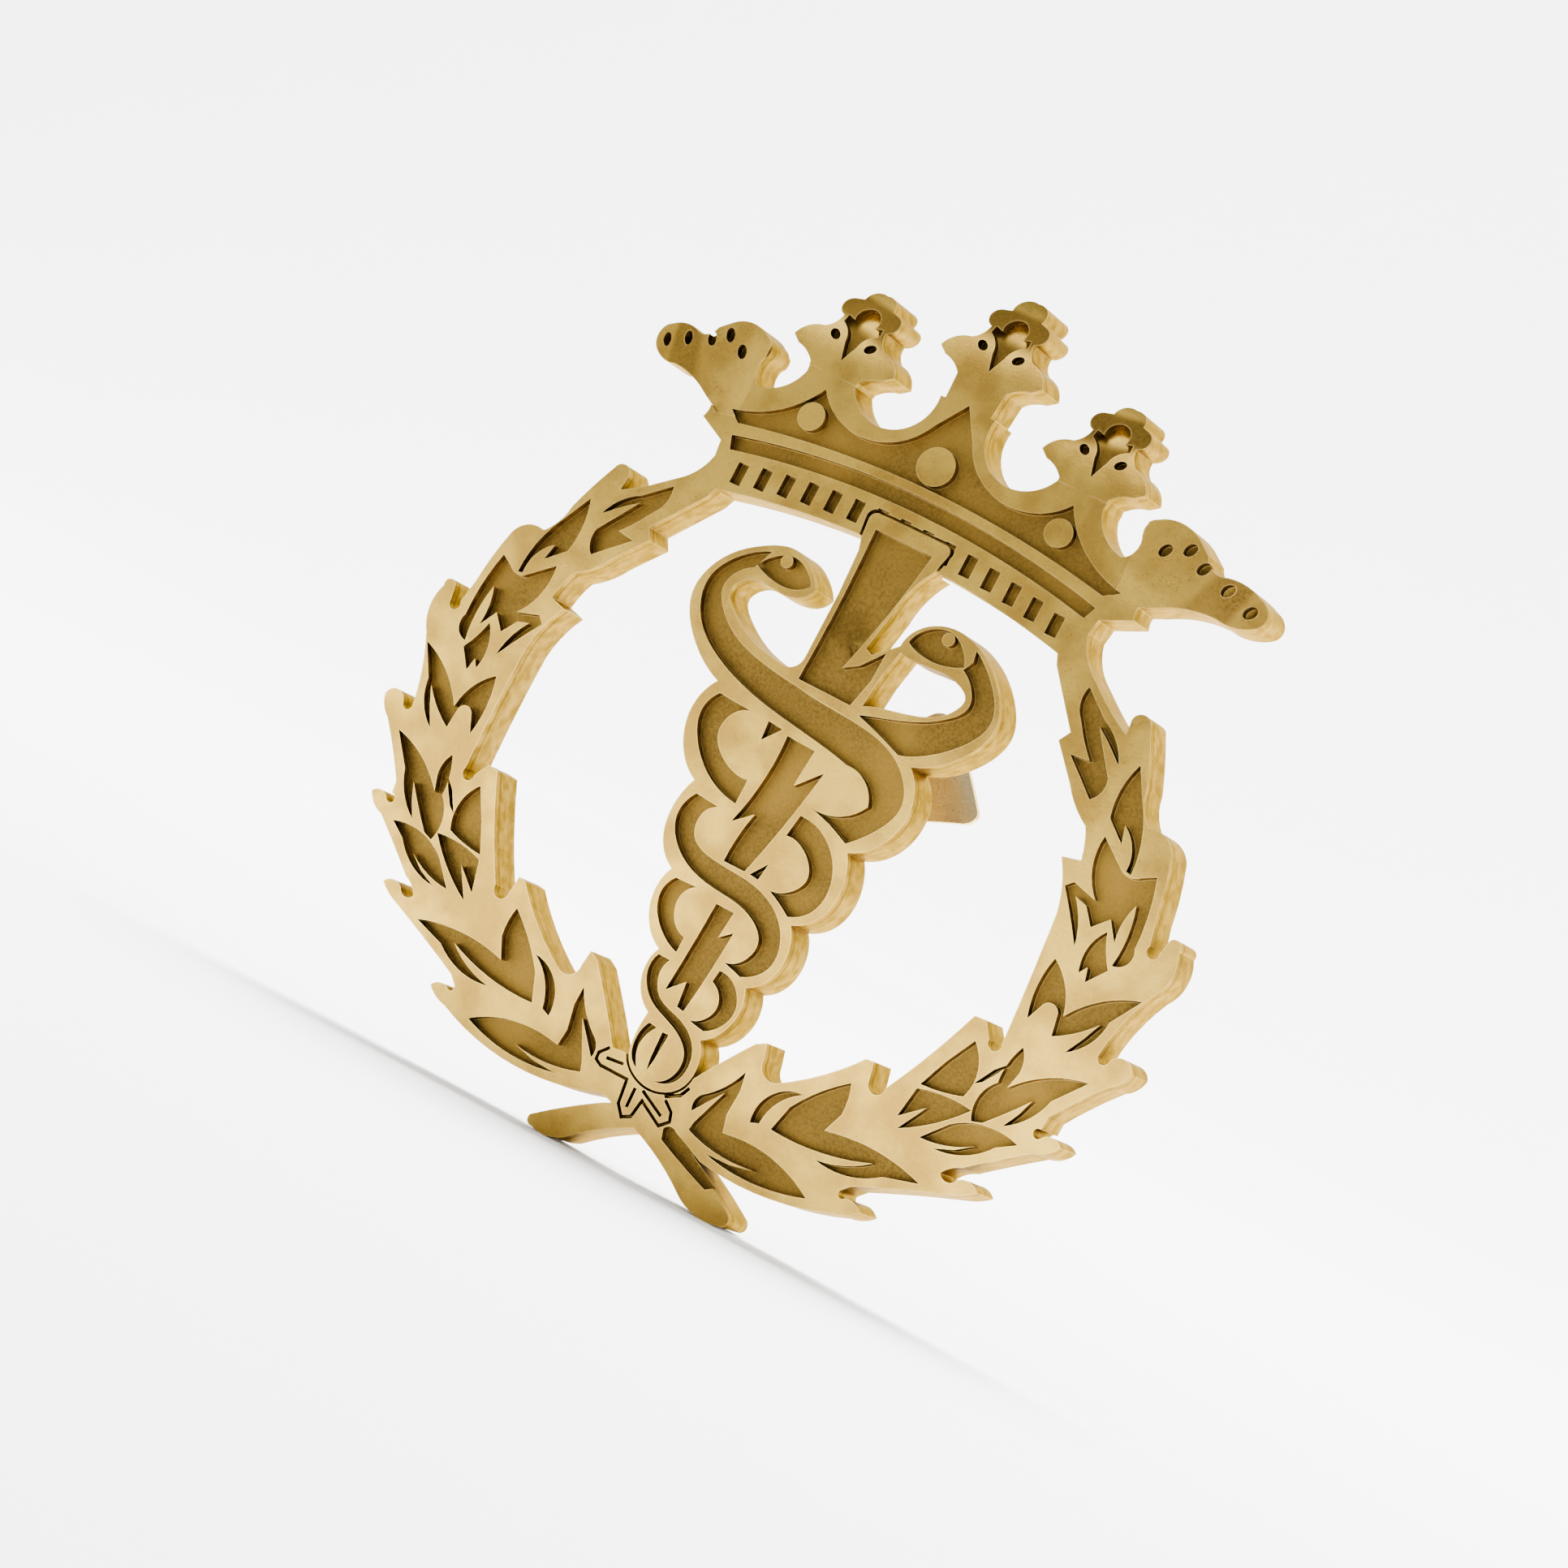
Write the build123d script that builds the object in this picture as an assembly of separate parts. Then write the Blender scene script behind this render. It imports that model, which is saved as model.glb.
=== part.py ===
"""Domed cap badge: a laurel wreath with a crown, a serpent staff laid in, and a pin with its clutch.

The badge is drawn flat, in millimetres, as it is seen from the front: x to the right, y up, z to the viewer.
Prisms of these outlines are cut to the dome, then all of it is turned to stand up: front to -Y, up to +Z.
The origin is the root of the pin, on the back of the badge.
"""
from build123d import *
from math import hypot, radians, sin, cos, sqrt
import os

# --- badge ---
DOME_RADIUS = 106.0
DOME_TOP_Y = 6.5
THICKNESS = 2.2
RELIEF = 0.45
LAP_DEPTH = 1.1
SEAM = 0.1
PRISM_TOP = 6.0
PRISM_BOTTOM = -14.0
THROUGH = 10.0

# Where the staff laps over the wreath, behind its head and behind its last loop: middle y, then height.
LAP_X = 0.3
LAP_WIDTH = 6.0
LAPS = [(11.6, 2.2), (-13.9, 2.3)]

# --- crown ---
WINDOW_COUNT = 15
WINDOW_PITCH = 1.115
WINDOW_SIZE = (0.52, 0.95)
BAND_SPAN = 8.45
BAND_RISE = 0.9
BAND_BOTTOM = 10.65
WINDOW_MIDDLE = 11.5
TINE_BEND_RADIUS = 9.0
SIDE_TINE_BEND_RADIUS = 14.0
BEND_WIDTH = 60.0
HEAD_WIDTH = 30.0
HEAD_REACH = 20.0
PEARLS = [(-6.1, 14.2, 0.62), (0.0, 14.5, 0.85), (6.1, 14.2, 0.62)]

# Hook tips of each upright tine: x, y, then how far its foot reaches below them and its top above them.
FLEURONS = [(-6.15, 17.05, 1.9, 3.2), (0.0, 19.2, 2.3, 3.4), (6.15, 17.05, 1.9, 3.2)]
FLEURON_BEND_START = 0.9
SIDE_BEND_START = (9.3, 14.5)

# --- serpents and tails ---
EYES = [(-3.95, 8.3, 0.28), (4.05, 8.3, 0.28)]
GROOVE_LINE = 0.16

# --- pin ---
PIN_Y = 0.25
PIN_RADIUS = 0.55
PIN_LENGTH = 6.2
PIN_POINT = 1.0
PIN_POINT_RADIUS = 0.12
GROOVE_DEPTH = 0.12
GROOVE_WIDTH = 0.7
PAD_RADIUS = 1.7
PAD_HEIGHT = 0.5

# --- butterfly clutch; heights are measured from its face against the cloth ---
CLOTH_GAP = 1.4
CLUTCH_TURN = 43.0
BORE_RADIUS = 0.62
DISC_RADIUS = 3.8
DISC_THICKNESS = 0.45
RIM_WIDTH = 0.45
RIM_HEIGHT = 0.35
PIP_RADIUS = 0.45
PIP_HEIGHT = 0.45
PIP_CIRCLE = 2.9
BARREL_RADIUS = 2.3
BARREL_WALL = 0.35
BARREL_HEIGHT = 5.4
BARREL_FLANGE_RADIUS = 3.0
BARREL_FLANGE_THICKNESS = 0.35
BARREL_CROWN_FILLET = 0.9
SLOT_WIDTH = 2.2
SLOT_BOTTOM = 1.35
SLOT_TOP = 3.3
SPRING_HEIGHT = 2.1
SPRING_THICKNESS = 0.35
JAW_WIDTH = 1.6
WING_NECK = 3.6
WING_FLARE = 5.3
WING_REACH = 5.8
WING_BULGE = 0.1
WING_CORNER = 0.5
JAW_CLEARANCE = 0.06
WING_RISE = 2.5

# How far outside the barrel the wing's neck, bend and shoulder start.
NECK_START = 0.2
BEND_START = 0.3
SHOULDER_START = 0.6


class Via(tuple):
    """The middle point of an arc that joins the points before and after it."""


class Bend(tuple):
    """Points that one smooth curve follows, starting from the point before."""


def via(x, y):
    return Via((x, y))


def bend(*points):
    return Bend(points)


def outline(*steps):
    """A face bounded by straight lines, arcs and smooth curves through the given steps, closed at the end."""
    start = steps[0]
    queue = list(steps[1:]) + [start]
    edges = []
    here = start
    while queue:
        step = queue.pop(0)
        if isinstance(step, Via):
            end = queue.pop(0)
            edges.append(Edge.make_three_point_arc((*here, 0), (*step, 0), (*end, 0)))
        elif isinstance(step, Bend):
            end = step[-1]
            edges.append(Edge.make_spline([Vector(*here), *[Vector(*point) for point in step]]))
        else:
            end = step
            if end != here:
                edges.append(Edge.make_line((*here, 0), (*end, 0)))
        here = end
    return Face(Wire(edges))


def mirrored(face):
    """The same outline on the other side of the badge's middle line."""
    return mirror(face, about=Plane.YZ)


def reflected(steps):
    """The same points and arcs on the other side of the middle line, walked back the other way."""
    return [Via((-x, y)) if isinstance(step, Via) else (-x, y) for step in reversed(steps) for x, y in [step]]


def both_sides(faces):
    return faces + [mirrored(face) for face in faces]


def prism(face, bottom=PRISM_BOTTOM, top=PRISM_TOP):
    return extrude(Pos(0, 0, bottom) * face, amount=top - bottom, dir=(0, 0, 1))


def dome(depth):
    """Everything that lies under the domed surface at the given depth below the face."""
    return Pos(0, DOME_TOP_Y, -DOME_RADIUS) * Sphere(DOME_RADIUS - depth)


def dome_height(x, y, depth=0.0):
    reach = hypot(x, y - DOME_TOP_Y)
    return sqrt((DOME_RADIUS - depth) ** 2 - reach ** 2) - DOME_RADIUS


def above_dome(faces, depth):
    """Cutters for the given outlines, with a floor at the given depth."""
    floor = dome(depth)
    return [prism(face) - floor for face in faces]


def merged(solids):
    """One shape from many touching or separate solids."""
    first, *others = solids
    return first.fuse(*others) if others else first


# ---------------------------------------------------------------- wreath, left half

def wreath_half():
    """The left branch, from the crown's lower corner round the outside to the stem and back up the inside."""
    return outline(
        (-8.45, 9.75), (-8.0, 11.4), (-9.25, 11.0),
        via(-9.6, 10.2), (-10.3, 9.5), (-11.3, 8.75), via(-12.0, 8.3), (-12.55, 8.0),
        (-12.5, 8.5), via(-12.85, 9.05), (-13.3, 8.75), via(-13.85, 7.6), (-14.3, 6.5),
        via(-14.6, 5.6), (-15.05, 5.05), via(-16.05, 4.9), (-16.45, 4.4), via(-16.8, 3.1), (-17.0, 1.9),
        (-17.25, 0.8), via(-17.5, 0.35), (-17.75, 0.7), (-17.85, 1.3), via(-18.1, 1.5), (-18.4, 1.1),
        via(-18.6, 0.0), (-18.2, -1.0), via(-17.65, -2.3), (-17.35, -3.45),
        (-17.25, -4.1), via(-17.45, -4.35), (-17.75, -4.15), via(-18.4, -3.75), (-18.8, -4.15),
        via(-18.65, -4.55), (-18.2, -5.0), via(-17.2, -6.2), (-16.45, -7.25),
        (-16.4, -7.8), via(-16.2, -8.15), (-16.55, -8.1), via(-17.1, -7.9), (-17.4, -8.1),
        via(-17.2, -8.4), (-16.5, -8.8), via(-15.3, -9.7), (-14.1, -10.65),
        via(-13.6, -10.95), (-13.35, -11.25), via(-13.6, -11.45), (-14.1, -11.2), via(-14.7, -11.05),
        (-15.05, -11.3), via(-14.8, -11.5), (-14.1, -11.85), via(-12.4, -12.5), (-10.15, -13.45),
        (-9.85, -13.75), via(-9.8, -14.0), (-10.1, -14.0), via(-10.6, -14.0), (-10.9, -14.25),
        via(-10.6, -14.5), (-9.9, -14.75), via(-5.6, -15.6), (-1.45, -14.85),
        (0.3, -15.4), (0.3, -12.9), (-1.2, -12.9), (-1.8, -12.95), via(-2.85, -11.5), (-4.0, -10.05),
        (-4.45, -9.8),
        (-4.6, -10.5), via(-4.95, -11.1), (-5.5, -11.1), via(-7.2, -9.9), (-8.6, -8.5), (-8.95, -8.45),
        (-9.1, -9.3), via(-9.5, -9.65), (-9.85, -9.2), via(-10.8, -7.5), (-12.0, -4.9), (-12.5, -4.85),
        (-12.95, -5.5), via(-13.3, -5.85), (-13.5, -5.4), via(-13.4, -2.2), (-13.25, 0.3),
        via(-12.95, 1.4), (-12.4, 2.45), (-13.2, 2.65), via(-13.0, 3.4), (-12.75, 3.95), via(-11.9, 4.6),
        (-11.4, 5.2), (-10.15, 6.6), (-10.45, 7.1), via(-9.3, 8.5), (-8.65, 9.3),
    )


def left_stem():
    return outline(
        (0.4, -14.4), (-1.3, -15.2), via(-2.7, -16.05), (-4.15, -17.05), via(-4.2, -17.35), (-3.9, -17.5),
        via(-3.1, -17.55), (-2.4, -17.3), via(-1.0, -16.3), (0.5, -15.5),
    )


def right_stem():
    """The stem of the right branch, which is cut longer than the left one."""
    return outline(
        (0.4, -14.4), (2.3, -15.0), via(4.2, -15.9), (5.7, -16.8), via(5.9, -17.15), (5.5, -17.5),
        via(4.4, -17.55), (3.5, -17.2), via(2.0, -16.2), (0.4, -15.5),
    )


def leaf_recesses():
    """Sunk fields of the left branch, leaf by leaf from the crown down, with thin ribs between them."""
    return [
        outline((-10.3, 9.1), via(-10.25, 8.4), (-10.6, 7.75), via(-11.15, 7.0), (-11.7, 6.4),
                (-10.85, 6.3), (-11.7, 5.6), (-12.4, 5.0), via(-12.75, 5.6), (-12.7, 6.1),
                via(-11.95, 7.1), (-11.4, 7.85), (-12.05, 7.4), (-12.85, 6.75), via(-12.3, 7.6),
                (-11.5, 8.15)),
        outline((-13.65, 7.15), via(-13.4, 6.2), (-13.5, 4.7), (-14.4, 3.95), (-14.2, 4.7),
                via(-14.8, 4.1), (-15.05, 3.05), (-15.3, 3.0), via(-14.95, 4.8), (-14.4, 5.85)),
        outline((-16.3, 3.4), (-15.75, 3.1), via(-15.3, 2.9), (-14.95, 2.95), (-13.65, 3.95),
                via(-13.65, 3.0), (-14.45, 1.45), (-13.35, 1.75), (-13.05, 1.45), via(-13.9, 0.3),
                (-14.5, -0.6), via(-14.2, 0.4), (-13.65, 1.25), (-14.2, 1.1), (-14.75, 0.4),
                (-15.35, 1.05), (-15.9, 0.25), via(-15.85, 1.2), (-16.05, 2.0), via(-16.25, 1.0),
                (-16.2, -0.6), via(-16.65, -0.4), (-16.75, 0.4), via(-16.6, 2.2)),
        outline((-15.45, 0.55), via(-15.05, -0.2), (-15.1, -1.45), (-15.35, -1.1), (-15.5, -1.7),
                (-16.15, -0.85), via(-15.8, -0.3)),
        outline((-17.95, -1.35), via(-16.5, -2.05), (-15.3, -3.3), via(-14.8, -2.1), (-14.0, -1.35),
                via(-13.8, -2.6), (-14.0, -4.05), (-14.35, -3.25), via(-14.75, -3.05), (-15.05, -3.3),
                (-15.2, -4.25), via(-16.1, -3.65), (-16.8, -2.95), (-16.45, -3.7), (-15.95, -4.6),
                via(-16.75, -3.8), (-17.1, -2.7)),
        outline((-17.4, -5.25), via(-15.9, -5.75), (-14.45, -6.9), (-14.65, -6.2), via(-14.6, -5.6),
                (-14.35, -5.15), via(-14.1, -5.8), (-14.0, -6.9), via(-13.5, -7.8), (-13.65, -8.8),
                (-14.1, -8.65), via(-14.8, -7.9), (-15.6, -6.95), (-15.3, -7.7), (-14.9, -8.4),
                via(-15.8, -7.6), (-16.3, -6.6)),
        outline((-14.15, -6.0), (-13.65, -6.5), (-13.1, -7.4), (-13.45, -7.15), (-13.9, -6.5)),
        outline((-12.45, -5.8), (-11.7, -7.1), (-11.1, -8.4), via(-12.0, -8.3), (-12.95, -8.05),
                via(-13.1, -7.0)),
        outline((-13.5, -8.4), via(-12.3, -8.35), (-11.05, -8.6), (-10.75, -10.0), (-11.75, -9.15),
                (-10.95, -10.45), via(-12.0, -9.8)),
        outline((-15.8, -8.8), via(-14.0, -8.75), (-12.9, -9.3), (-11.95, -10.35), via(-13.3, -10.1),
                (-14.2, -9.65), (-13.5, -10.15), (-12.65, -10.5), via(-14.0, -10.15), (-15.0, -9.3)),
        outline((-12.75, -12.05), via(-10.0, -11.65), (-8.2, -11.9), (-8.6, -11.0), via(-8.6, -10.3),
                (-8.45, -9.65), via(-7.3, -10.65), (-6.45, -11.7), (-6.05, -12.9), via(-8.4, -12.8),
                (-10.6, -12.2), via(-9.6, -12.8), (-8.3, -13.15), via(-9.8, -13.15), (-11.2, -12.5)),
        outline((-6.8, -11.0), via(-5.6, -11.5), (-5.1, -13.05), (-5.5, -12.9), via(-5.9, -11.8)),
        outline((-8.6, -14.75), via(-6.0, -13.85), (-4.2, -13.95), (-4.05, -13.2), (-4.2, -12.1),
                (-4.1, -11.25),
                via(-3.6, -12.1), (-2.85, -12.85), via(-2.5, -13.3), (-2.55, -13.75), (-3.6, -12.45),
                (-2.85, -14.1), (-2.75, -14.5), via(-4.4, -14.85), (-6.1, -14.75), (-5.0, -15.0),
                (-3.8, -15.05), via(-6.2, -15.25)),
    ]


def stem_groove():
    """The hollow in the face of the right stem."""
    return outline((1.7, -14.95), via(1.95, -14.75), (2.3, -14.85), via(3.4, -15.3), (4.9, -16.1),
                   (4.4, -16.4), via(3.0, -15.9), (1.8, -15.4))


# ---------------------------------------------------------------- crown

def band_drop(x):
    """How far the crown's bands fall away from the middle line at x."""
    return BAND_RISE * (x / BAND_SPAN) ** 2


def crown_body():
    """Band, field and the rims of the three-quarter rings that stand between the tines."""
    half = [
        (-9.25, 11.0), (-9.35, 11.7), via(-9.9, 11.95), (-10.65, 12.3), via(-10.55, 12.75), (-10.6, 13.0),
        via(-9.9, 14.0), (-9.3, 14.4), via(-8.1, 14.75), (-7.3, 15.9), (-5.05, 16.3), via(-4.3, 15.35),
        (-3.2, 15.0), via(-1.9, 15.55), (-1.35, 17.3),
    ]
    return outline(*half, *reflected(half), (BAND_SPAN, 9.75), via(0, BAND_BOTTOM), (-BAND_SPAN, 9.75))


def fleuron(foot, top):
    """A tine's head on the y axis, measured from the tips of its hooks: foot is below them, top above."""
    left = [
        (-1.1, -foot), (-1.2, -0.75), via(-1.55, -0.45), (-2.1, -0.25), (-2.5, 0.05), via(-2.2, 0.55),
        (-1.5, 0.9),
        via(-1.2, 1.2), (-1.05, 1.65), via(-1.4, 2.15), (-1.05, 2.55), (-0.72, 2.65), via(-0.6, top - 0.2),
    ]
    return outline(*left, (0.0, top), *reflected(left))


def side_tine():
    """The outermost tine, seen from its side: a long leaf that points outwards."""
    return outline(
        (-8.6, 14.3), via(-9.35, 14.9), (-9.3, 15.6), via(-9.25, 16.1), (-9.6, 16.45), via(-10.5, 16.75),
        (-11.5, 16.45), (-12.1, 16.0), via(-12.4, 15.6), (-12.9, 15.5), via(-13.7, 15.65), (-14.6, 15.4),
        via(-15.1, 14.85), (-14.9, 14.25), via(-14.3, 13.9), (-13.4, 13.85), via(-12.2, 13.65),
        (-11.2, 13.2),
        (-10.2, 12.7), (-8.9, 12.9),
    )


def field():
    """The sunk field under the rings, pointed up into the feet of the tines."""
    return outline(
        (-9.65, 13.1), via(-7.8, 13.75), (-6.1, 15.5), via(-3.75, 14.3), (-0.95, 16.0), (0.0, 17.4),
        (0.95, 16.0), via(3.75, 14.3), (6.1, 15.5), via(7.8, 13.75), (9.65, 13.1), (9.0, 12.65),
        via(0.0, 13.5), (-9.0, 12.65),
    )


def channel():
    return outline((-9.0, 12.1), via(0.0, 13.1), (9.0, 12.1), (8.75, 11.5), via(0.0, 12.4), (-8.75, 11.5))


def band_windows():
    windows = []
    for number in range(WINDOW_COUNT):
        x = WINDOW_PITCH * (number - (WINDOW_COUNT - 1) / 2)
        pane = Rectangle(*WINDOW_SIZE).face()
        windows.append(Pos(x, WINDOW_MIDDLE - band_drop(x), 0) * pane)
    return windows


def fleuron_recess():
    left = [(-0.3, 0.6), via(-0.5, 1.1), (-0.9, 1.4), (-0.85, 1.75), (-0.5, 1.65), via(-0.5, 2.05)]
    return outline((0.0, -0.2), *left, (0.0, 2.4), *reflected(left))


def fleuron_eyes():
    return [Pos(side * 0.87, 0.75, 0) * Rot(0, 0, side * 35) * Ellipse(0.28, 0.2).face() for side in (-1, 1)]


def side_tine_eyes():
    places = [(-14.45, 14.7), (-13.35, 15.1), (-12.15, 15.45), (-11.35, 15.9), (-10.45, 15.45)]
    return [Pos(x, y, 0) * Rot(0, 0, -60) * Ellipse(0.33, 0.22).face() for x, y in places]


# ---------------------------------------------------------------- serpent staff

def staff_outline():
    """The staff with its two serpents, without the openings inside their necks."""
    return outline(
        (-1.45, 10.5), (-1.55, 11.4), via(-1.45, 11.65), (-1.15, 11.75), (2.05, 11.75), via(2.3, 11.65),
        (2.35, 11.35), (2.15, 10.5), via(1.7, 9.7), (1.35, 8.2), (1.0, 6.5), (1.35, 6.35), (2.3, 7.2),
        bend((2.65, 8.1), (4.0, 8.8), (5.6, 8.45), (6.9, 7.4), (7.6, 5.9), (7.1, 4.5), (5.05, 2.95)),
        bend((5.8, 1.8), (5.75, 0.3), (4.2, -1.35)),
        bend((4.65, -2.6), (4.5, -3.9), (3.3, -5.05)),
        bend((3.7, -6.2), (3.45, -7.4), (2.6, -8.2)),
        bend((2.8, -9.2), (2.5, -10.2), (1.7, -11.0)),
        bend((2.05, -12.1), (1.75, -13.1), (0.35, -13.75), (-0.9, -13.1), (-1.1, -12.0), (-0.95, -10.95)),
        bend((-1.75, -10.1), (-1.9, -9.2), (-1.65, -8.4)),
        bend((-2.55, -7.6), (-2.9, -6.5), (-2.6, -5.2)),
        bend((-3.55, -4.2), (-3.75, -3.0), (-3.35, -1.5)),
        bend((-4.45, -0.5), (-4.9, 1.0), (-4.35, 2.6)),
        bend((-6.2, 3.75), (-7.25, 5.6), (-6.6, 7.4), (-5.2, 8.5), (-3.7, 8.9), (-2.7, 8.4), (-2.15, 7.75)),
        bend((-2.7, 7.15), (-3.8, 7.0), (-5.0, 7.0), (-5.65, 6.25), (-5.0, 5.45), (-3.6, 4.7),
             (-1.75, 4.4)),
        bend((-1.4, 4.65), (-1.25, 5.2)), (-1.2, 8.0), (-1.3, 10.0),
    )


def right_neck_opening():
    return outline(
        (2.45, 6.95), bend((3.6, 6.9), (5.2, 6.85), (5.85, 6.4), (5.6, 5.7), (4.4, 4.95), (2.0, 4.3)),
        (2.15, 5.6),
    )


def serpent_channels():
    """Sunk matt bodies of the serpents, one run for each visible stretch between two crossings."""
    return [
        outline((-4.75, 8.4),
                bend((-5.9, 7.75), (-6.85, 6.2), (-6.3, 4.6), (-4.6, 3.4), (-2.0, 2.6), (2.5, 1.85)),
                via(3.7, 1.45), (4.15, 0.7), via(3.5, 0.0), (1.9, -0.35), (3.0, -0.65), (3.95, -1.05),
                bend((5.0, 0.1), (5.45, 1.3), (4.7, 2.65), (2.6, 3.5), (-1.0, 3.85)),
                bend((-3.9, 4.35), (-5.5, 5.3), (-6.05, 6.3), (-5.7, 7.1), (-5.15, 7.5))),
        outline((5.35, 8.4), bend((6.6, 7.4), (7.3, 6.0), (6.6, 4.6), (4.35, 3.15)),
                bend((3.2, 3.55), (2.0, 3.9)),
                bend((3.6, 4.4), (5.4, 5.25), (6.15, 6.2), (5.8, 7.0), (5.2, 7.45)), (5.45, 7.9)),
        outline((-4.0, 2.2), (-2.2, 2.1), bend((-3.1, 1.6), (-3.3, 0.8), (-2.6, -0.15), (-1.15, -0.5)),
                (-1.2, -1.62), bend((-2.7, -1.15), (-3.9, -0.1), (-4.42, 1.0), (-4.0, 2.2))),
        outline((1.65, -0.85), bend((3.1, -1.25), (4.05, -2.5), (4.1, -3.7), (3.0, -4.8)),
                bend((2.4, -4.45), (1.75, -4.15)),
                bend((2.7, -3.8), (3.1, -3.1), (2.6, -2.2), (1.45, -1.85))),
        outline((-3.0, -1.95), (-1.8, -2.05),
                bend((-2.4, -2.7), (-2.3, -3.5), (-0.9, -4.1), (1.2, -4.3), (2.75, -5.15), (3.3, -6.4),
                     (2.2, -7.9)),
                (1.25, -7.65),
                bend((2.1, -7.15), (2.3, -6.3), (1.5, -5.5), (-0.4, -5.15), (-2.3, -4.6), (-3.3, -3.5),
                     (-3.0, -1.95))),
        outline((-2.25, -5.45), (-1.15, -5.4), bend((-1.75, -6.2), (-1.55, -7.0), (-0.8, -7.5)),
                (-0.85, -8.2),
                bend((-2.1, -7.45), (-2.6, -6.5), (-2.25, -5.45))),
        outline((1.25, -8.05), bend((2.3, -8.5), (2.6, -9.3), (2.2, -10.2), (1.65, -10.6)), (0.8, -10.45),
                bend((1.6, -10.0), (1.8, -9.4), (1.6, -8.9), (1.15, -8.6))),
        outline((-1.55, -8.6), (-0.95, -8.6),
                bend((-1.15, -9.4), (-0.8, -10.1), (0.6, -10.65), (1.55, -11.5), (1.6, -12.6), (0.4, -13.4)),
                bend((1.2, -12.8), (1.3, -11.9), (0.4, -11.05), (-1.1, -10.4), (-1.7, -9.5),
                     (-1.55, -8.6))),
        outline((-0.3, -11.35), (-0.7, -11.3), bend((-1.0, -12.1), (-0.75, -13.05), (-0.45, -13.25)),
                bend((-0.75, -12.4), (-0.3, -11.35))),
        outline((0.0, -11.4), (0.32, -11.4), (0.15, -12.6), (0.0, -13.2), (-0.05, -12.6)),
    ]


def serpent_heads():
    return [
        outline((-5.1, 7.65), bend((-4.5, 8.3), (-3.7, 8.6), (-2.9, 8.3), (-2.45, 7.8)),
                bend((-3.0, 7.4), (-3.9, 7.3), (-5.1, 7.65))),
        outline((2.55, 7.5), bend((2.95, 8.2), (4.1, 8.6), (4.8, 8.2), (5.2, 7.55)),
                bend((4.4, 7.25), (3.5, 7.2), (2.55, 7.5))),
    ]


def staff_recesses():
    """Sunk faces of the staff with its lopped branches, and the notches beside them."""
    return [
        outline((-1.05, 11.1), (1.75, 11.1), via(1.35, 8.8), (0.45, 5.35), (1.1, 5.75), (1.9, 6.7),
                (1.85, 5.4),
                (1.5, 4.1), (-1.1, 4.15), via(-1.0, 6.0)),
        outline((-0.4, 1.85), (1.0, 1.8), (0.8, 0.1), (1.8, 1.15), via(1.35, -0.9), (0.45, -3.95),
                (-0.6, -3.95),
                via(-0.5, -2.9), (-0.2, -1.65), (-1.05, -2.35), via(-0.65, -1.0)),
        outline((-1.45, 2.05), (-0.7, 2.0), (-1.4, 1.2)),
        outline((1.3, -3.2), (1.15, -4.0), (0.7, -3.95)),
        outline((-0.1, -5.65), (0.8, -5.65), (0.6, -6.85), (1.15, -6.4), via(0.9, -8.2), (0.5, -10.25),
                (0.15, -10.2), (0.1, -9.1), (-0.65, -9.8), via(-0.35, -7.8)),
    ]


def tail_grooves():
    """Fine engraved lines round the crossed tails, cut into the foot of the wreath."""
    lines = [
        [(-1.9, -13.0), (-2.3, -13.4), (-2.3, -13.7), (-2.0, -13.85), (-0.65, -13.85),
         (-0.6, -14.9), (-0.25, -15.35), (0.15, -15.15), (0.35, -14.35), (1.45, -14.95),
         (1.85, -14.6), (1.75, -14.2), (1.3, -13.85)],
        [(-1.05, -13.35), (-1.9, -13.45)],
        [(-0.15, -14.0), (-0.2, -14.9)],
        [(0.2, -13.95), (1.4, -14.55)],
        [(2.1, -12.95), (1.85, -13.4), (1.2, -13.75)],
    ]
    return [trace(Polyline(*points), GROOVE_LINE).faces()[0] for points in lines]


def staff_pockets():
    """Seats for the staff's head and last loop, wider than they are by the open seam."""
    side = 2.0 + SEAM
    head = outline(
        (-1.45 - SEAM, 10.2), (-1.6 - SEAM, 11.4), via(-1.5 - SEAM, 11.65 + SEAM), (-1.15, 11.78 + SEAM),
        (2.05, 11.78 + SEAM), via(2.35 + SEAM, 11.65 + SEAM), (2.4 + SEAM, 11.35), (2.15 + SEAM, 10.4),
    )
    loop = outline(
        (-1.1 - SEAM, -12.4),
        bend((-0.95 - SEAM, -13.1), (0.35, -13.77 - SEAM), (1.75 + SEAM, -13.15), (side, -12.4)),
    )
    return [head, loop]


def lap_zones():
    """Where the staff rests on the wreath: behind its head and behind its last loop."""
    return [Pos(LAP_X, y, 0) * Rectangle(LAP_WIDTH, height).face() for y, height in LAPS]


# ---------------------------------------------------------------- struck pieces

class TineBend:
    """The cylinder that a tine's head is bent round; it touches the dome along the crease."""

    def __init__(self, x, y, lean, radius):
        along_x = -sin(radians(lean))
        along_y = cos(radians(lean))
        slope = (x * along_x + (y - DOME_TOP_Y) * along_y) / DOME_RADIUS
        self.crease = Pos(x, y, 0) * Rot(0, 0, lean)
        self.radius = radius
        self.height = dome_height(x, y) - radius * cos(slope)
        self.back = -radius * sin(slope)

    def under(self, depth):
        axis = self.crease * Pos(0, self.back, self.height) * Rot(0, 90, 0)
        return axis * Cylinder(self.radius - depth, BEND_WIDTH)

    def beyond(self):
        middle = self.crease * Pos(0, HEAD_REACH / 2, self.height + self.radius)
        return middle * Box(HEAD_WIDTH, HEAD_REACH, 2 * self.radius)

    def head(self, face):
        return (prism(face) & self.under(0.0) & self.beyond()) - self.under(THICKNESS)

    def cutter(self, face):
        return prism(face) - self.under(RELIEF)


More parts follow.
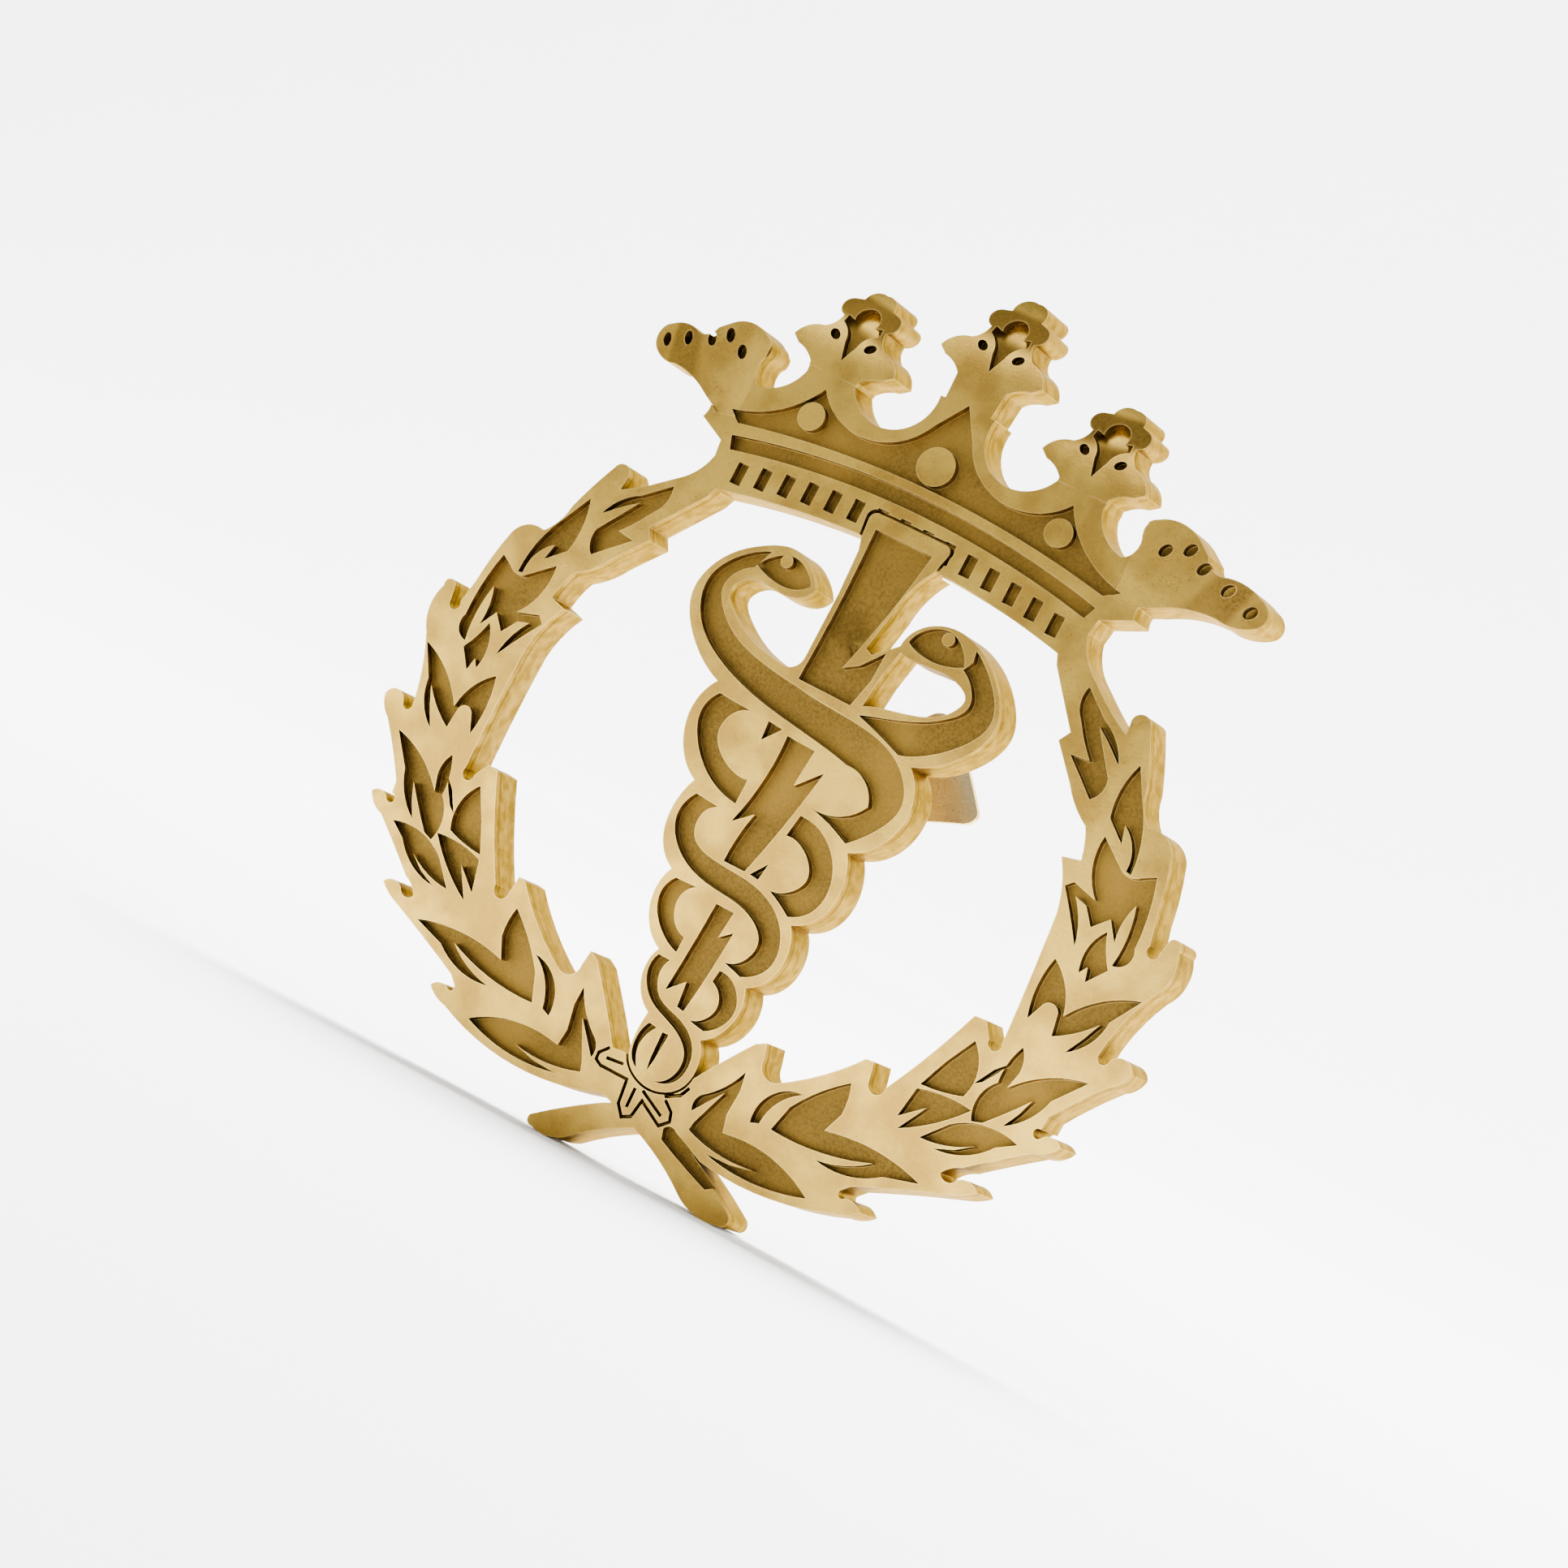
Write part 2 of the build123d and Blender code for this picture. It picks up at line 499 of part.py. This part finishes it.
def tines():
    """Each tine's bend, with the outline of its head and its recesses."""
    made = []
    for x, y, foot, top in FLEURONS:
        place = Pos(x, y, 0)
        recesses = [place * fleuron_recess()] + [place * eye for eye in fleuron_eyes()]
        bend_at = TineBend(x, y - FLEURON_BEND_START, 0, TINE_BEND_RADIUS)
        made.append((bend_at, place * fleuron(foot, top), recesses))
    x, y = SIDE_BEND_START
    left_bend = TineBend(-x, y, 90, SIDE_TINE_BEND_RADIUS)
    right_bend = TineBend(x, y, -90, SIDE_TINE_BEND_RADIUS)
    made.append((left_bend, side_tine(), side_tine_eyes()))
    made.append((right_bend, mirrored(side_tine()), [mirrored(eye) for eye in side_tine_eyes()]))
    return made


def wreath_and_crown():
    """The struck and pierced ring: two laurel branches, crossed stems, and the crown with its bent tines."""
    flats = both_sides([wreath_half()]) + [left_stem(), right_stem(), crown_body()]
    bends = tines()
    feet = [prism(head) - bend_at.beyond() for bend_at, head, recesses in bends]
    body = merged([prism(face) for face in flats] + feet)
    body = (body & dome(0.0)) - dome(THICKNESS)
    body = body - [prism(head) & bend_at.beyond() for bend_at, head, recesses in bends]
    body = merged([body] + [bend_at.head(head) for bend_at, head, recesses in bends])
    sunk = both_sides(leaf_recesses()) + [stem_groove(), channel()] + band_windows() + tail_grooves()
    pearls = [Pos(x, y, 0) * Circle(radius).face() for x, y, radius in PEARLS]
    cutters = above_dome(sunk, RELIEF)
    cutters.append(above_dome([field()], RELIEF)[0] - [prism(pearl) for pearl in pearls])
    for bend_at, head, recesses in bends:
        cutters += [bend_at.cutter(recess) for recess in recesses]
    return body - cutters - above_dome(staff_pockets(), LAP_DEPTH)


def serpent_staff():
    """The serpents and their staff, thinned behind the head and the last loop to lap over the ring."""
    body = prism(staff_outline()) - prism(right_neck_opening())
    body = (body & dome(0.0)) - dome(THICKNESS)
    eyes = [prism(Pos(x, y, 0) * Circle(radius).face()) for x, y, radius in EYES]
    cutters = above_dome(serpent_channels() + staff_recesses(), RELIEF)
    cutters += [cutter - eyes for cutter in above_dome(serpent_heads(), RELIEF)]
    laps = [prism(zone) & dome(LAP_DEPTH) for zone in lap_zones()]
    return body - cutters - laps


def post_pad():
    """Solder pad on the hollow back, round the pin's root; drawn in the badge's own frame."""
    root = dome_height(0, PIN_Y, THICKNESS)
    pad = Pos(0, PIN_Y, root) * Cylinder(PAD_RADIUS, 2 * PAD_HEIGHT)
    pad = fillet(pad.edges().filter_by(GeomType.CIRCLE).sort_by(Axis.Z)[0], PAD_HEIGHT / 2)
    bore = Pos(0, PIN_Y, root) * Cylinder(PIN_RADIUS, 4 * PAD_HEIGHT)
    return (pad & dome(THICKNESS)) - bore


# ---------------------------------------------------------------- pin and clutch, drawn along +Z

def pin_post():
    """Turned pin with a grip groove near its point."""
    groove = PIN_LENGTH - PIN_POINT - 2 * GROOVE_WIDTH
    profile = Polyline(
        (0, 0), (PIN_RADIUS, 0), (PIN_RADIUS, groove),
        (PIN_RADIUS - GROOVE_DEPTH, groove + GROOVE_WIDTH / 2),
        (PIN_RADIUS, groove + GROOVE_WIDTH), (PIN_RADIUS, PIN_LENGTH - PIN_POINT),
        (PIN_POINT_RADIUS, PIN_LENGTH), (0, PIN_LENGTH), (0, 0),
    )
    return revolve(Plane.XZ * make_face(profile), axis=Axis.Z)


def clutch_disc():
    """Round base against the cloth: rolled rim, two pips that bite, a bore for the pin."""
    disc = Pos(0, 0, DISC_THICKNESS / 2) * Cylinder(DISC_RADIUS, DISC_THICKNESS)
    rim = Pos(0, 0, DISC_THICKNESS + RIM_HEIGHT / 2) * Cylinder(DISC_RADIUS, RIM_HEIGHT)
    rim -= Pos(0, 0, DISC_THICKNESS + RIM_HEIGHT / 2) * Cylinder(DISC_RADIUS - RIM_WIDTH, RIM_HEIGHT)
    disc = fillet((disc + rim).edges().filter_by(GeomType.CIRCLE).group_by(Axis.Z)[-1], RIM_WIDTH * 0.3)
    for side in (-1, 1):
        disc += Pos(0, side * PIP_CIRCLE, -PIP_HEIGHT / 2) * Cone(PIP_RADIUS / 4, PIP_RADIUS, PIP_HEIGHT)
    return disc - Cylinder(BORE_RADIUS, THROUGH)


def clutch_barrel():
    """Closed cup over the spring, flanged at the foot, with a slot each side for the wings."""
    base = DISC_THICKNESS
    cup = Pos(0, 0, base + BARREL_HEIGHT / 2) * Cylinder(BARREL_RADIUS, BARREL_HEIGHT)
    cup = fillet(cup.edges().filter_by(GeomType.CIRCLE).sort_by(Axis.Z)[-1], BARREL_CROWN_FILLET)
    flange = Cylinder(BARREL_FLANGE_RADIUS, BARREL_FLANGE_THICKNESS)
    flange = Pos(0, 0, base + BARREL_FLANGE_THICKNESS / 2) * flange
    hollow_height = BARREL_HEIGHT - BARREL_WALL
    hollow = Pos(0, 0, base + hollow_height / 2) * Cylinder(BARREL_RADIUS - BARREL_WALL, hollow_height)
    hollow_top = hollow.edges().filter_by(GeomType.CIRCLE).sort_by(Axis.Z)[-1]
    hollow = fillet(hollow_top, BARREL_CROWN_FILLET - BARREL_WALL)
    slot_height = SLOT_TOP - SLOT_BOTTOM
    slot = Pos(0, 0, base + SLOT_BOTTOM + slot_height / 2) * Box(4 * BARREL_RADIUS, SLOT_WIDTH, slot_height)
    return (cup + flange) - hollow - slot


def spring_wing():
    """Half of the spring on the +X side: jaw against the pin, neck through the slot, flared wing outside."""
    jaw = JAW_WIDTH / 2
    neck = WING_NECK / 2
    flare = WING_FLARE / 2
    jaw_tip = BORE_RADIUS / 2
    outside = BARREL_RADIUS + NECK_START
    shoulder = BARREL_RADIUS + SHOULDER_START
    corner = WING_REACH - WING_BULGE
    plan = prism(outline(
        (jaw_tip, -jaw), (outside, -jaw), (shoulder, -neck), (corner, -flare), via(WING_REACH, 0),
        (corner, flare), (shoulder, neck), (outside, jaw), (jaw_tip, jaw),
    ))
    corners = [edge for edge in plan.edges().filter_by(Axis.Z) if abs(edge.center().Y) > flare - WING_CORNER]
    plan = fillet(corners, WING_CORNER)
    bend_start = BARREL_RADIUS + BEND_START
    bend_end = WING_REACH + WING_CORNER
    bend_middle = ((bend_start + bend_end) / 2, WING_RISE / 4)
    profile = outline(
        (0, 0), (bend_start, 0), via(*bend_middle), (bend_end, WING_RISE),
        (bend_end, WING_RISE + SPRING_THICKNESS), via(bend_middle[0], bend_middle[1] + SPRING_THICKNESS),
        (bend_start, SPRING_THICKNESS), (0, SPRING_THICKNESS),
    )
    sheet = extrude(Rot(90, 0, 0) * profile, amount=WING_FLARE, both=True)
    wing = Pos(0, 0, DISC_THICKNESS + SPRING_HEIGHT) * (sheet & plan)
    return wing - Cylinder(PIN_RADIUS + JAW_CLEARANCE, 4 * SPRING_HEIGHT + 4 * WING_RISE)


# ---------------------------------------------------------------- placing and writing

def stand_up(shape):
    """Turn the badge up, front to -Y, with the pin's root at the origin."""
    root = dome_height(0, PIN_Y, THICKNESS)
    return Rot(90, 0, 0) * Pos(0, -PIN_Y, -root) * shape


def on_pin(shape):
    """Turn a piece drawn along +Z from the pin's root so that it points out of the back, along +Y."""
    return Rot(-90, 0, 0) * shape


def on_clutch(shape):
    """The same for a piece of the clutch, which stands off by the cloth and is turned a little on the pin."""
    return on_pin(Pos(0, 0, CLOTH_GAP) * Rot(0, 0, -CLUTCH_TURN) * shape)


def main():
    parts = {
        "wreath_and_crown": stand_up(wreath_and_crown()),
        "serpent_staff": stand_up(serpent_staff()),
        "post_pad": stand_up(post_pad()),
        "pin_post": on_pin(pin_post()),
        "clutch_disc": on_clutch(clutch_disc()),
        "clutch_barrel": on_clutch(clutch_barrel()),
        "spring_wing_right": on_clutch(spring_wing()),
        "spring_wing_left": on_clutch(mirrored(spring_wing())),
    }
    os.makedirs("parts", exist_ok=True)
    for name, shape in parts.items():
        export_step(shape, f"parts/{name}.step")
        print(name, round(shape.volume, 2), len(shape.solids()), "solids")


if __name__ == "__main__":
    main()
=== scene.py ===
"""Looks for the cap badge: gilt and clutch metals, softened edges, studio light, floor and camera. Metres."""

from math import cos, radians, sin

import bpy
from mathutils import Matrix, Vector


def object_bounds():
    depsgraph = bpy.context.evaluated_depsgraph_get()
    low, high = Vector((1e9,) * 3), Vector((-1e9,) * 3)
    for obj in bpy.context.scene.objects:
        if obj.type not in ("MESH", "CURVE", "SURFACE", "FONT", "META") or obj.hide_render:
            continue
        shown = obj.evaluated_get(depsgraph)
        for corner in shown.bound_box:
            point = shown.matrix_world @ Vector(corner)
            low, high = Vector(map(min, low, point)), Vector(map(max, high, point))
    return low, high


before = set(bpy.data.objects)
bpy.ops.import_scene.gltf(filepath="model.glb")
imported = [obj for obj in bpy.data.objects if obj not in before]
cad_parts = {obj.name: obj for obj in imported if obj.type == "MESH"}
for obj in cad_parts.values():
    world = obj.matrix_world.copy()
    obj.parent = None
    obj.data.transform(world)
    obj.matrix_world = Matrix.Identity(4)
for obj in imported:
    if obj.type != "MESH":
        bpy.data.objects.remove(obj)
cad_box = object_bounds()

MM = 0.001

# --- the badge's dome, and the levels that are struck into it ---
DOME_CENTRE = (0.0, 103.61 * MM, 6.25 * MM)
DOME_RADIUS = 106.0
RELIEF = 0.45
LEDGE_DEPTH = 0.46

# --- colours, linear ---
FACE = (0.290, 0.172, 0.026)
# Rubbed edges, also painted brighter as an edge highlight.
EDGE_WEAR_AND_HIGHLIGHT = (0.800, 0.570, 0.170)
FACE_WORN = (0.460, 0.295, 0.046)
FLOOR = (0.160, 0.097, 0.018)
FLOOR_DARK = (0.086, 0.050, 0.009)
# Side walls are painted darker as shade; the paler tone gives them random streaks.
WALL_SHADE = (0.130, 0.078, 0.020)
WALL_SHADE_PALE = (0.280, 0.180, 0.052)
# Painted shade: the dark colour for tight corners, slots and the ledge line.
CREVICE_SHADE = (0.014, 0.007, 0.002)
GRAZING = (0.900, 0.680, 0.340)
CLUTCH = (0.700, 0.565, 0.310)
CLUTCH_DULL = (0.540, 0.415, 0.200)
PIN = (0.640, 0.540, 0.360)
SOLDER = (0.430, 0.420, 0.390)

# --- camera: where it stands, which way it looks, and its lens ---
CAMERA_AT = (0.09154, -0.22269, -0.00201)
CAMERA_RIGHT = (0.82585, 0.33775, 0.45155)
CAMERA_UP = (-0.41478, -0.17862, 0.89222)
LENS = 133.1
SENSOR = 36.0

# --- finish of the gilding: roughness of its faces, what sunk floors and walls add, and what grain adds ---
FACE_ROUGHNESS = 0.30
FLOOR_EXTRA_ROUGHNESS = 0.28
WALL_EXTRA_ROUGHNESS = 0.16
GRAIN_ROUGHNESS = 0.24
GRAIN_SIZE = 0.11
LEDGE_SOFTNESS = 0.13
LEDGE_WIDTH = 0.15
LEDGE_EDGE = 0.03
LEDGE_WANDER = 0.30

# --- softened edges, mm ---
GILT_EDGE = 0.05
PAD_EDGE = 0.04
PIN_EDGE = 0.03
CLUTCH_EDGE = 0.05
BEVEL_SEGMENTS = 2
BEVEL_ANGLE = 38

# --- studio, metres ---
WORLD_STRENGTH = 0.62
FLOOR_TONES = ((0.93, 0.93, 0.93), (0.95, 0.95, 0.95))
FLOOR_HALF_WIDTH = 3.0
FLOOR_FRONT = -3.0
FLOOR_BACK = 1.2
SWEEP_RADIUS = 0.5
SWEEP_STEPS = 16
BACKDROP_HEIGHT = 3.0
BADGE = (0.0, 0.0, 0.0)

# Lights on everything: name, where it stands, where it points, its size, watts.
STUDIO_LIGHTS = [
    ("key", (-0.25, -0.45, 0.50), BADGE, (0.30, 0.30), 1.7),
    ("side", (0.45, 0.02, 0.10), BADGE, (0.12, 0.35), 3.6),
    ("front", (-0.30, -0.70, 0.16), BADGE, (0.60, 0.30), 0.45),
    ("back_fill", (0.10, 0.50, 0.35), BADGE, (0.35, 0.35), 0.5),
]

# Lights on the floor alone, with the angle each spreads over as well.
FLOOR_LIGHTS = [
    ("floor_wash", (0.0, 0.75, 1.6), (0.0, 0.75, 0.0), (3.0, 1.2), 120.0, 95),
    ("near_wash", (0.0, 0.15, 0.7), (0.0, 0.15, 0.0), (0.5, 0.3), 3.2, 75),
    ("backdrop_wash", (0.0, 0.3, 0.8), (0.0, 1.7, 0.7), (3.0, 0.8), 42.0, 100),
]

GILT_NODES = ("wreath_and_crown", "serpent_staff")
CLUTCH_NODES = ("clutch_disc", "clutch_barrel", "spring_wing_right", "spring_wing_left")


class Graph:
    """A material's node tree, with short calls for the nodes that repeat."""

    def __init__(self, name):
        self.material = bpy.data.materials.new(name)
        self.material.use_nodes = True
        self.tree = self.material.node_tree
        self.shader = self.tree.nodes["Principled BSDF"]
        coordinates = self.tree.nodes.new("ShaderNodeTexCoord")
        self.place = coordinates.outputs["Object"]
        self.normal = self.tree.nodes.new("ShaderNodeNewGeometry").outputs["Normal"]

    def node(self, kind, inputs=(), **settings):
        made = self.tree.nodes.new(kind)
        for name, value in settings.items():
            setattr(made, name, value)
        for key, value in dict(inputs).items():
            self.put(value, made.inputs[key])
        return made

    def put(self, value, socket):
        if isinstance(value, bpy.types.NodeSocket):
            self.tree.links.new(value, socket)
        elif isinstance(value, tuple) and len(value) == 3 and socket.type == "RGBA":
            socket.default_value = (*value, 1.0)
        else:
            socket.default_value = value

    def math(self, operation, first, second=0.0, clamp=False):
        made = self.node("ShaderNodeMath", {0: first, 1: second}, operation=operation, use_clamp=clamp)
        return made.outputs[0]

    def vector(self, operation, first, second=(0.0, 0.0, 0.0), output="Vector"):
        made = self.node("ShaderNodeVectorMath", {0: first, 1: second}, operation=operation)
        return made.outputs[output]

    def about_zero(self, value, amount):
        """A value from 0 to 1, spread over amount with its middle at 0."""
        return self.math("MULTIPLY", self.math("SUBTRACT", value, 0.5), amount)

    def step(self, value, low, high):
        """0 below low, 1 above high, smooth between; high below low turns it round."""
        made = self.node("ShaderNodeMapRange", {"Value": value, "From Min": low, "From Max": high},
                         interpolation_type="SMOOTHSTEP")
        return made.outputs["Result"]

    def noise(self, size_mm, detail=3.0, roughness=0.55, place=None):
        """Noise whose features are about size_mm across, from 0 to 1."""
        inputs = {"Vector": place or self.place, "Scale": 1.0 / (size_mm * MM)}
        made = self.node("ShaderNodeTexNoise", {**inputs, "Detail": detail, "Roughness": roughness})
        return made.outputs["Fac"]

    def mix(self, amount, first, second, blend="MIX"):
        made = self.node("ShaderNodeMix", data_type="RGBA", blend_type=blend, clamp_factor=True)
        self.put(amount, made.inputs[0])
        self.put(first, made.inputs[6])
        self.put(second, made.inputs[7])
        return made.outputs[2]

    def crevice_shade(self, reach_mm):
        """1 in tight corners and slots, 0 in the open; the mask for painted shade there."""
        reach = {"Distance": reach_mm * MM}
        made = self.node("ShaderNodeAmbientOcclusion", reach, samples=8, only_local=True)
        return self.math("SUBTRACT", 1.0, made.outputs["AO"])

    def edge(self, radius_mm):
        """1 along sharp edges, 0 on smooth stretches."""
        bevel = self.node("ShaderNodeBevel", {"Radius": radius_mm * MM}, samples=6)
        likeness = self.vector("DOT_PRODUCT", bevel.outputs[0], self.normal, output="Value")
        return self.step(likeness, 0.985, 0.86)

    def bump(self, height, distance_mm, strength, before=None):
        inputs = {"Height": height, "Distance": distance_mm * MM, "Strength": strength}
        if before is not None:
            inputs["Normal"] = before
        return self.node("ShaderNodeBump", inputs).outputs["Normal"]

    def finish(self, colour, roughness, normal, metallic=1.0, grazing=None):
        self.put(colour, self.shader.inputs["Base Color"])
        self.put(roughness, self.shader.inputs["Roughness"])
        self.put(normal, self.shader.inputs["Normal"])
        self.shader.inputs["Metallic"].default_value = metallic
        if grazing is not None:
            self.shader.inputs["Specular Tint"].default_value = (*grazing, 1.0)
        return self.material


def gilt_regions(g):
    """Depth under the badge's domed face in mm, and masks for its sunk floors and its side walls."""
    outward = g.vector("SUBTRACT", g.place, DOME_CENTRE)
    radius = g.vector("LENGTH", outward, output="Value")
    depth = g.math("SUBTRACT", DOME_RADIUS, g.math("DIVIDE", radius, MM))
    facing = g.vector("DOT_PRODUCT", g.vector("NORMALIZE", outward), g.normal, output="Value")
    is_flat = g.step(facing, 0.55, 0.85)
    below_face = g.step(depth, 0.4 * RELIEF, 0.8 * RELIEF)
    above_back = g.step(depth, 1.9 * RELIEF, 1.5 * RELIEF)
    is_floor = g.math("MULTIPLY", is_flat, g.math("MULTIPLY", below_face, above_back))
    is_wall = g.math("SUBTRACT", 1.0, g.step(g.math("ABSOLUTE", facing), 0.35, 0.65))
    return depth, is_floor, is_wall


def ledge_shade_line(g, depth):
    """A ragged line along the side walls, at the depth where the punch changed to the shear, painted dark as
    the shade of a ledge that is not modelled.
    """
    ragged = g.math("ADD", depth, g.about_zero(g.noise(0.35, 4.0, 0.7), LEDGE_WANDER))
    begins = g.step(ragged, LEDGE_DEPTH - LEDGE_SOFTNESS, LEDGE_DEPTH)
    ends = g.step(ragged, LEDGE_DEPTH + LEDGE_WIDTH, LEDGE_DEPTH + LEDGE_EDGE)
    return g.math("MULTIPLY", begins, ends)


def gilt_colour(g, grain, depth, is_floor, is_wall):
    """Mottled pale faces, darker grainy floors, streaked walls painted darker as shade, painted shade in
    corners and along the ledge, and rubbed edges painted brighter as a highlight.
    """
    cloud = g.noise(4.5, 2.0)
    streak = g.noise(0.55, 3.0)
    rubbed = g.math("ADD", g.math("MULTIPLY", cloud, 0.6), g.math("MULTIPLY", g.noise(1.6, 3.0), 0.4))
    face = g.mix(g.step(rubbed, 0.40, 0.62), FACE, FACE_WORN)
    face = g.mix(g.math("MULTIPLY", g.step(grain, 0.55, 0.8), 0.25), face, FLOOR)
    floor = g.mix(g.step(grain, 0.3, 0.7), FLOOR_DARK, FLOOR)
    floor = g.mix(g.math("MULTIPLY", g.step(cloud, 0.4, 0.75), 0.45), floor, FACE)
    # Painted shade: side walls darker than the faces, with paler streaks.
    wall_shade = g.mix(g.step(streak, 0.3, 0.7), WALL_SHADE, WALL_SHADE_PALE)
    # Painted shade along the ledge line.
    wall_shade = g.mix(g.math("MULTIPLY", ledge_shade_line(g, depth), 0.65), wall_shade, CREVICE_SHADE)
    colour = g.mix(is_floor, face, floor)
    colour = g.mix(is_wall, colour, wall_shade)
    # Painted shade: tight corners and slots are darkened.
    colour = g.mix(g.math("MULTIPLY", g.step(g.crevice_shade(0.5), 0.42, 0.95), 0.62), colour, CREVICE_SHADE)
    # Edges painted brighter: partly rubbed wear, partly a painted highlight.
    return g.mix(g.math("MULTIPLY", g.edge(0.09), 0.45), colour, EDGE_WEAR_AND_HIGHLIGHT)


def gilt():
    """Sandblasted gilding, told apart by depth and slope into faces, sunk floors and side walls."""
    g = Graph("gilt")
    depth, is_floor, is_wall = gilt_regions(g)
    grain = g.noise(GRAIN_SIZE, 4.0, 0.65)
    colour = gilt_colour(g, grain, depth, is_floor, is_wall)
    roughness = g.math("ADD", FACE_ROUGHNESS, g.math("MULTIPLY", is_floor, FLOOR_EXTRA_ROUGHNESS))
    roughness = g.math("ADD", roughness, g.math("MULTIPLY", is_wall, WALL_EXTRA_ROUGHNESS))
    roughness = g.math("ADD", roughness, g.about_zero(grain, GRAIN_ROUGHNESS), clamp=True)
    pits = g.bump(grain, 0.02, 0.35)
    normal = g.bump(g.noise(0.9, 3.0), 0.03, 0.22, before=pits)
    return g.finish(colour, roughness, normal, grazing=GRAZING)


def brushed(name, pale, dull, roughness, spread_mm):
    """Drawn or stamped metal: fine scratches, dull patches spread_mm across, painted shade in corners, and
    edges painted brighter, partly as wear and partly as a painted highlight.
    """
    g = Graph(name)
    patches = g.noise(spread_mm, 2.0)
    stretched = g.node("ShaderNodeMapping", {"Vector": g.place, "Scale": (1.0, 0.08, 1.0)}).outputs["Vector"]
    scratches = g.noise(0.08, 2.0, 0.5, place=stretched)
    colour = g.mix(g.step(patches, 0.4, 0.75), pale, dull)
    # Painted shade in the clutch's corners and slots.
    colour = g.mix(g.math("MULTIPLY", g.crevice_shade(0.5), 0.5), colour, CREVICE_SHADE)
    # Edges painted brighter: partly rubbed wear, partly a painted highlight.
    colour = g.mix(g.math("MULTIPLY", g.edge(0.06), 0.5), colour, EDGE_WEAR_AND_HIGHLIGHT)
    rough = g.math("ADD", roughness, g.about_zero(scratches, 0.22), clamp=True)
    return g.finish(colour, rough, g.bump(scratches, 0.008, 0.25), grazing=GRAZING)


def solder():
    """Cast solder: grey, lumpy and dull."""
    g = Graph("solder")
    lumps = g.noise(0.5, 3.0)
    colour = g.mix(g.step(lumps, 0.35, 0.7), SOLDER, FLOOR)
    rough = g.math("ADD", 0.38, g.math("MULTIPLY", lumps, 0.2))
    return g.finish(colour, rough, g.bump(lumps, 0.05, 0.5))


def dress(node, material, edge_mm):
    """Give a CAD node its finish and take the knife edge off it."""
    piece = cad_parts[node]
    piece.data.materials.clear()
    piece.data.materials.append(material)
    softened = piece.modifiers.new("softened_edges", "BEVEL")
    softened.width = edge_mm * MM
    softened.segments = BEVEL_SEGMENTS
    softened.limit_method = "ANGLE"
    softened.angle_limit = radians(BEVEL_ANGLE)
    softened.use_clamp_overlap = True
    softened.harden_normals = True


def area_light(name, at, toward, size, watts, spread=180, only=None):
    """A soft rectangular light; only names the one object that it reaches, if not all."""
    data = bpy.data.lights.new(name, "AREA")
    data.shape = "RECTANGLE"
    data.size, data.size_y = size
    data.energy = watts
    data.spread = radians(spread)
    lamp = bpy.data.objects.new(name, data)
    bpy.context.collection.objects.link(lamp)
    lamp.location = at
    lamp.rotation_euler = (Vector(toward) - Vector(at)).to_track_quat("-Z", "Y").to_euler()
    if only is not None:
        lit = bpy.data.collections.new(name + "_lights")
        lit.objects.link(only)
        lamp.light_linking.receiver_collection = lit


def floor_and_backdrop(level):
    """A plain pale floor that sweeps up into a backdrop behind the badge."""
    profile = [(FLOOR_FRONT, 0.0), (FLOOR_BACK, 0.0)]
    for k in range(1, SWEEP_STEPS + 1):
        turn = radians(90.0 * k / SWEEP_STEPS)
        profile.append((FLOOR_BACK + SWEEP_RADIUS * sin(turn), SWEEP_RADIUS - SWEEP_RADIUS * cos(turn)))
    profile.append((profile[-1][0], BACKDROP_HEIGHT))
    vertices = [(x, y, z + level) for y, z in profile for x in (-FLOOR_HALF_WIDTH, FLOOR_HALF_WIDTH)]
    faces = [(2 * k, 2 * k + 1, 2 * k + 3, 2 * k + 2) for k in range(len(profile) - 1)]
    mesh = bpy.data.meshes.new("floor")
    mesh.from_pydata(vertices, [], faces)
    floor = bpy.data.objects.new("floor", mesh)
    bpy.context.collection.objects.link(floor)
    g = Graph("pale_floor")
    tone = g.mix(g.noise(400.0, 1.0), *FLOOR_TONES)
    mesh.materials.append(g.finish(tone, 0.9, g.bump(g.noise(60.0, 1.0), 0.1, 0.05), metallic=0.0))
    return floor


def light(floor):
    """An even white world, the studio lights, and those that reach only the floor."""
    world = bpy.data.worlds.new("studio")
    bpy.context.scene.world = world
    world.use_nodes = True
    background = world.node_tree.nodes["Background"]
    background.inputs["Color"].default_value = (1.0, 1.0, 1.0, 1.0)
    background.inputs["Strength"].default_value = WORLD_STRENGTH
    for name, at, toward, size, watts in STUDIO_LIGHTS:
        area_light(name, at, toward, size, watts)
    for name, at, toward, size, watts, spread in FLOOR_LIGHTS:
        area_light(name, at, toward, size, watts, spread=spread, only=floor)


def camera():
    """The camera, looking along -Z of the frame that its right and up directions make."""
    data = bpy.data.cameras.new("camera")
    data.lens = LENS
    data.sensor_width = SENSOR
    data.clip_start = 0.01
    data.clip_end = 20.0
    shot = bpy.data.objects.new("camera", data)
    bpy.context.collection.objects.link(shot)
    right = Vector(CAMERA_RIGHT).normalized()
    up = Vector(CAMERA_UP)
    up = (up - right * up.dot(right)).normalized()
    back = right.cross(up)
    turn = Matrix((right, up, back)).transposed()
    shot.matrix_world = Matrix.Translation(CAMERA_AT) @ turn.to_4x4()
    bpy.context.scene.camera = shot


gilt_metal = gilt()
clutch_metal = brushed("clutch_brass", CLUTCH, CLUTCH_DULL, 0.30, 3.0)
for node in GILT_NODES:
    dress(node, gilt_metal, GILT_EDGE)
dress("post_pad", solder(), PAD_EDGE)
dress("pin_post", brushed("pin_metal", PIN, CLUTCH_DULL, 0.28, 2.0), PIN_EDGE)
for node in CLUTCH_NODES:
    dress(node, clutch_metal, CLUTCH_EDGE)

lowest_corner = cad_box[0]
light(floor_and_backdrop(level=lowest_corner[2]))
camera()
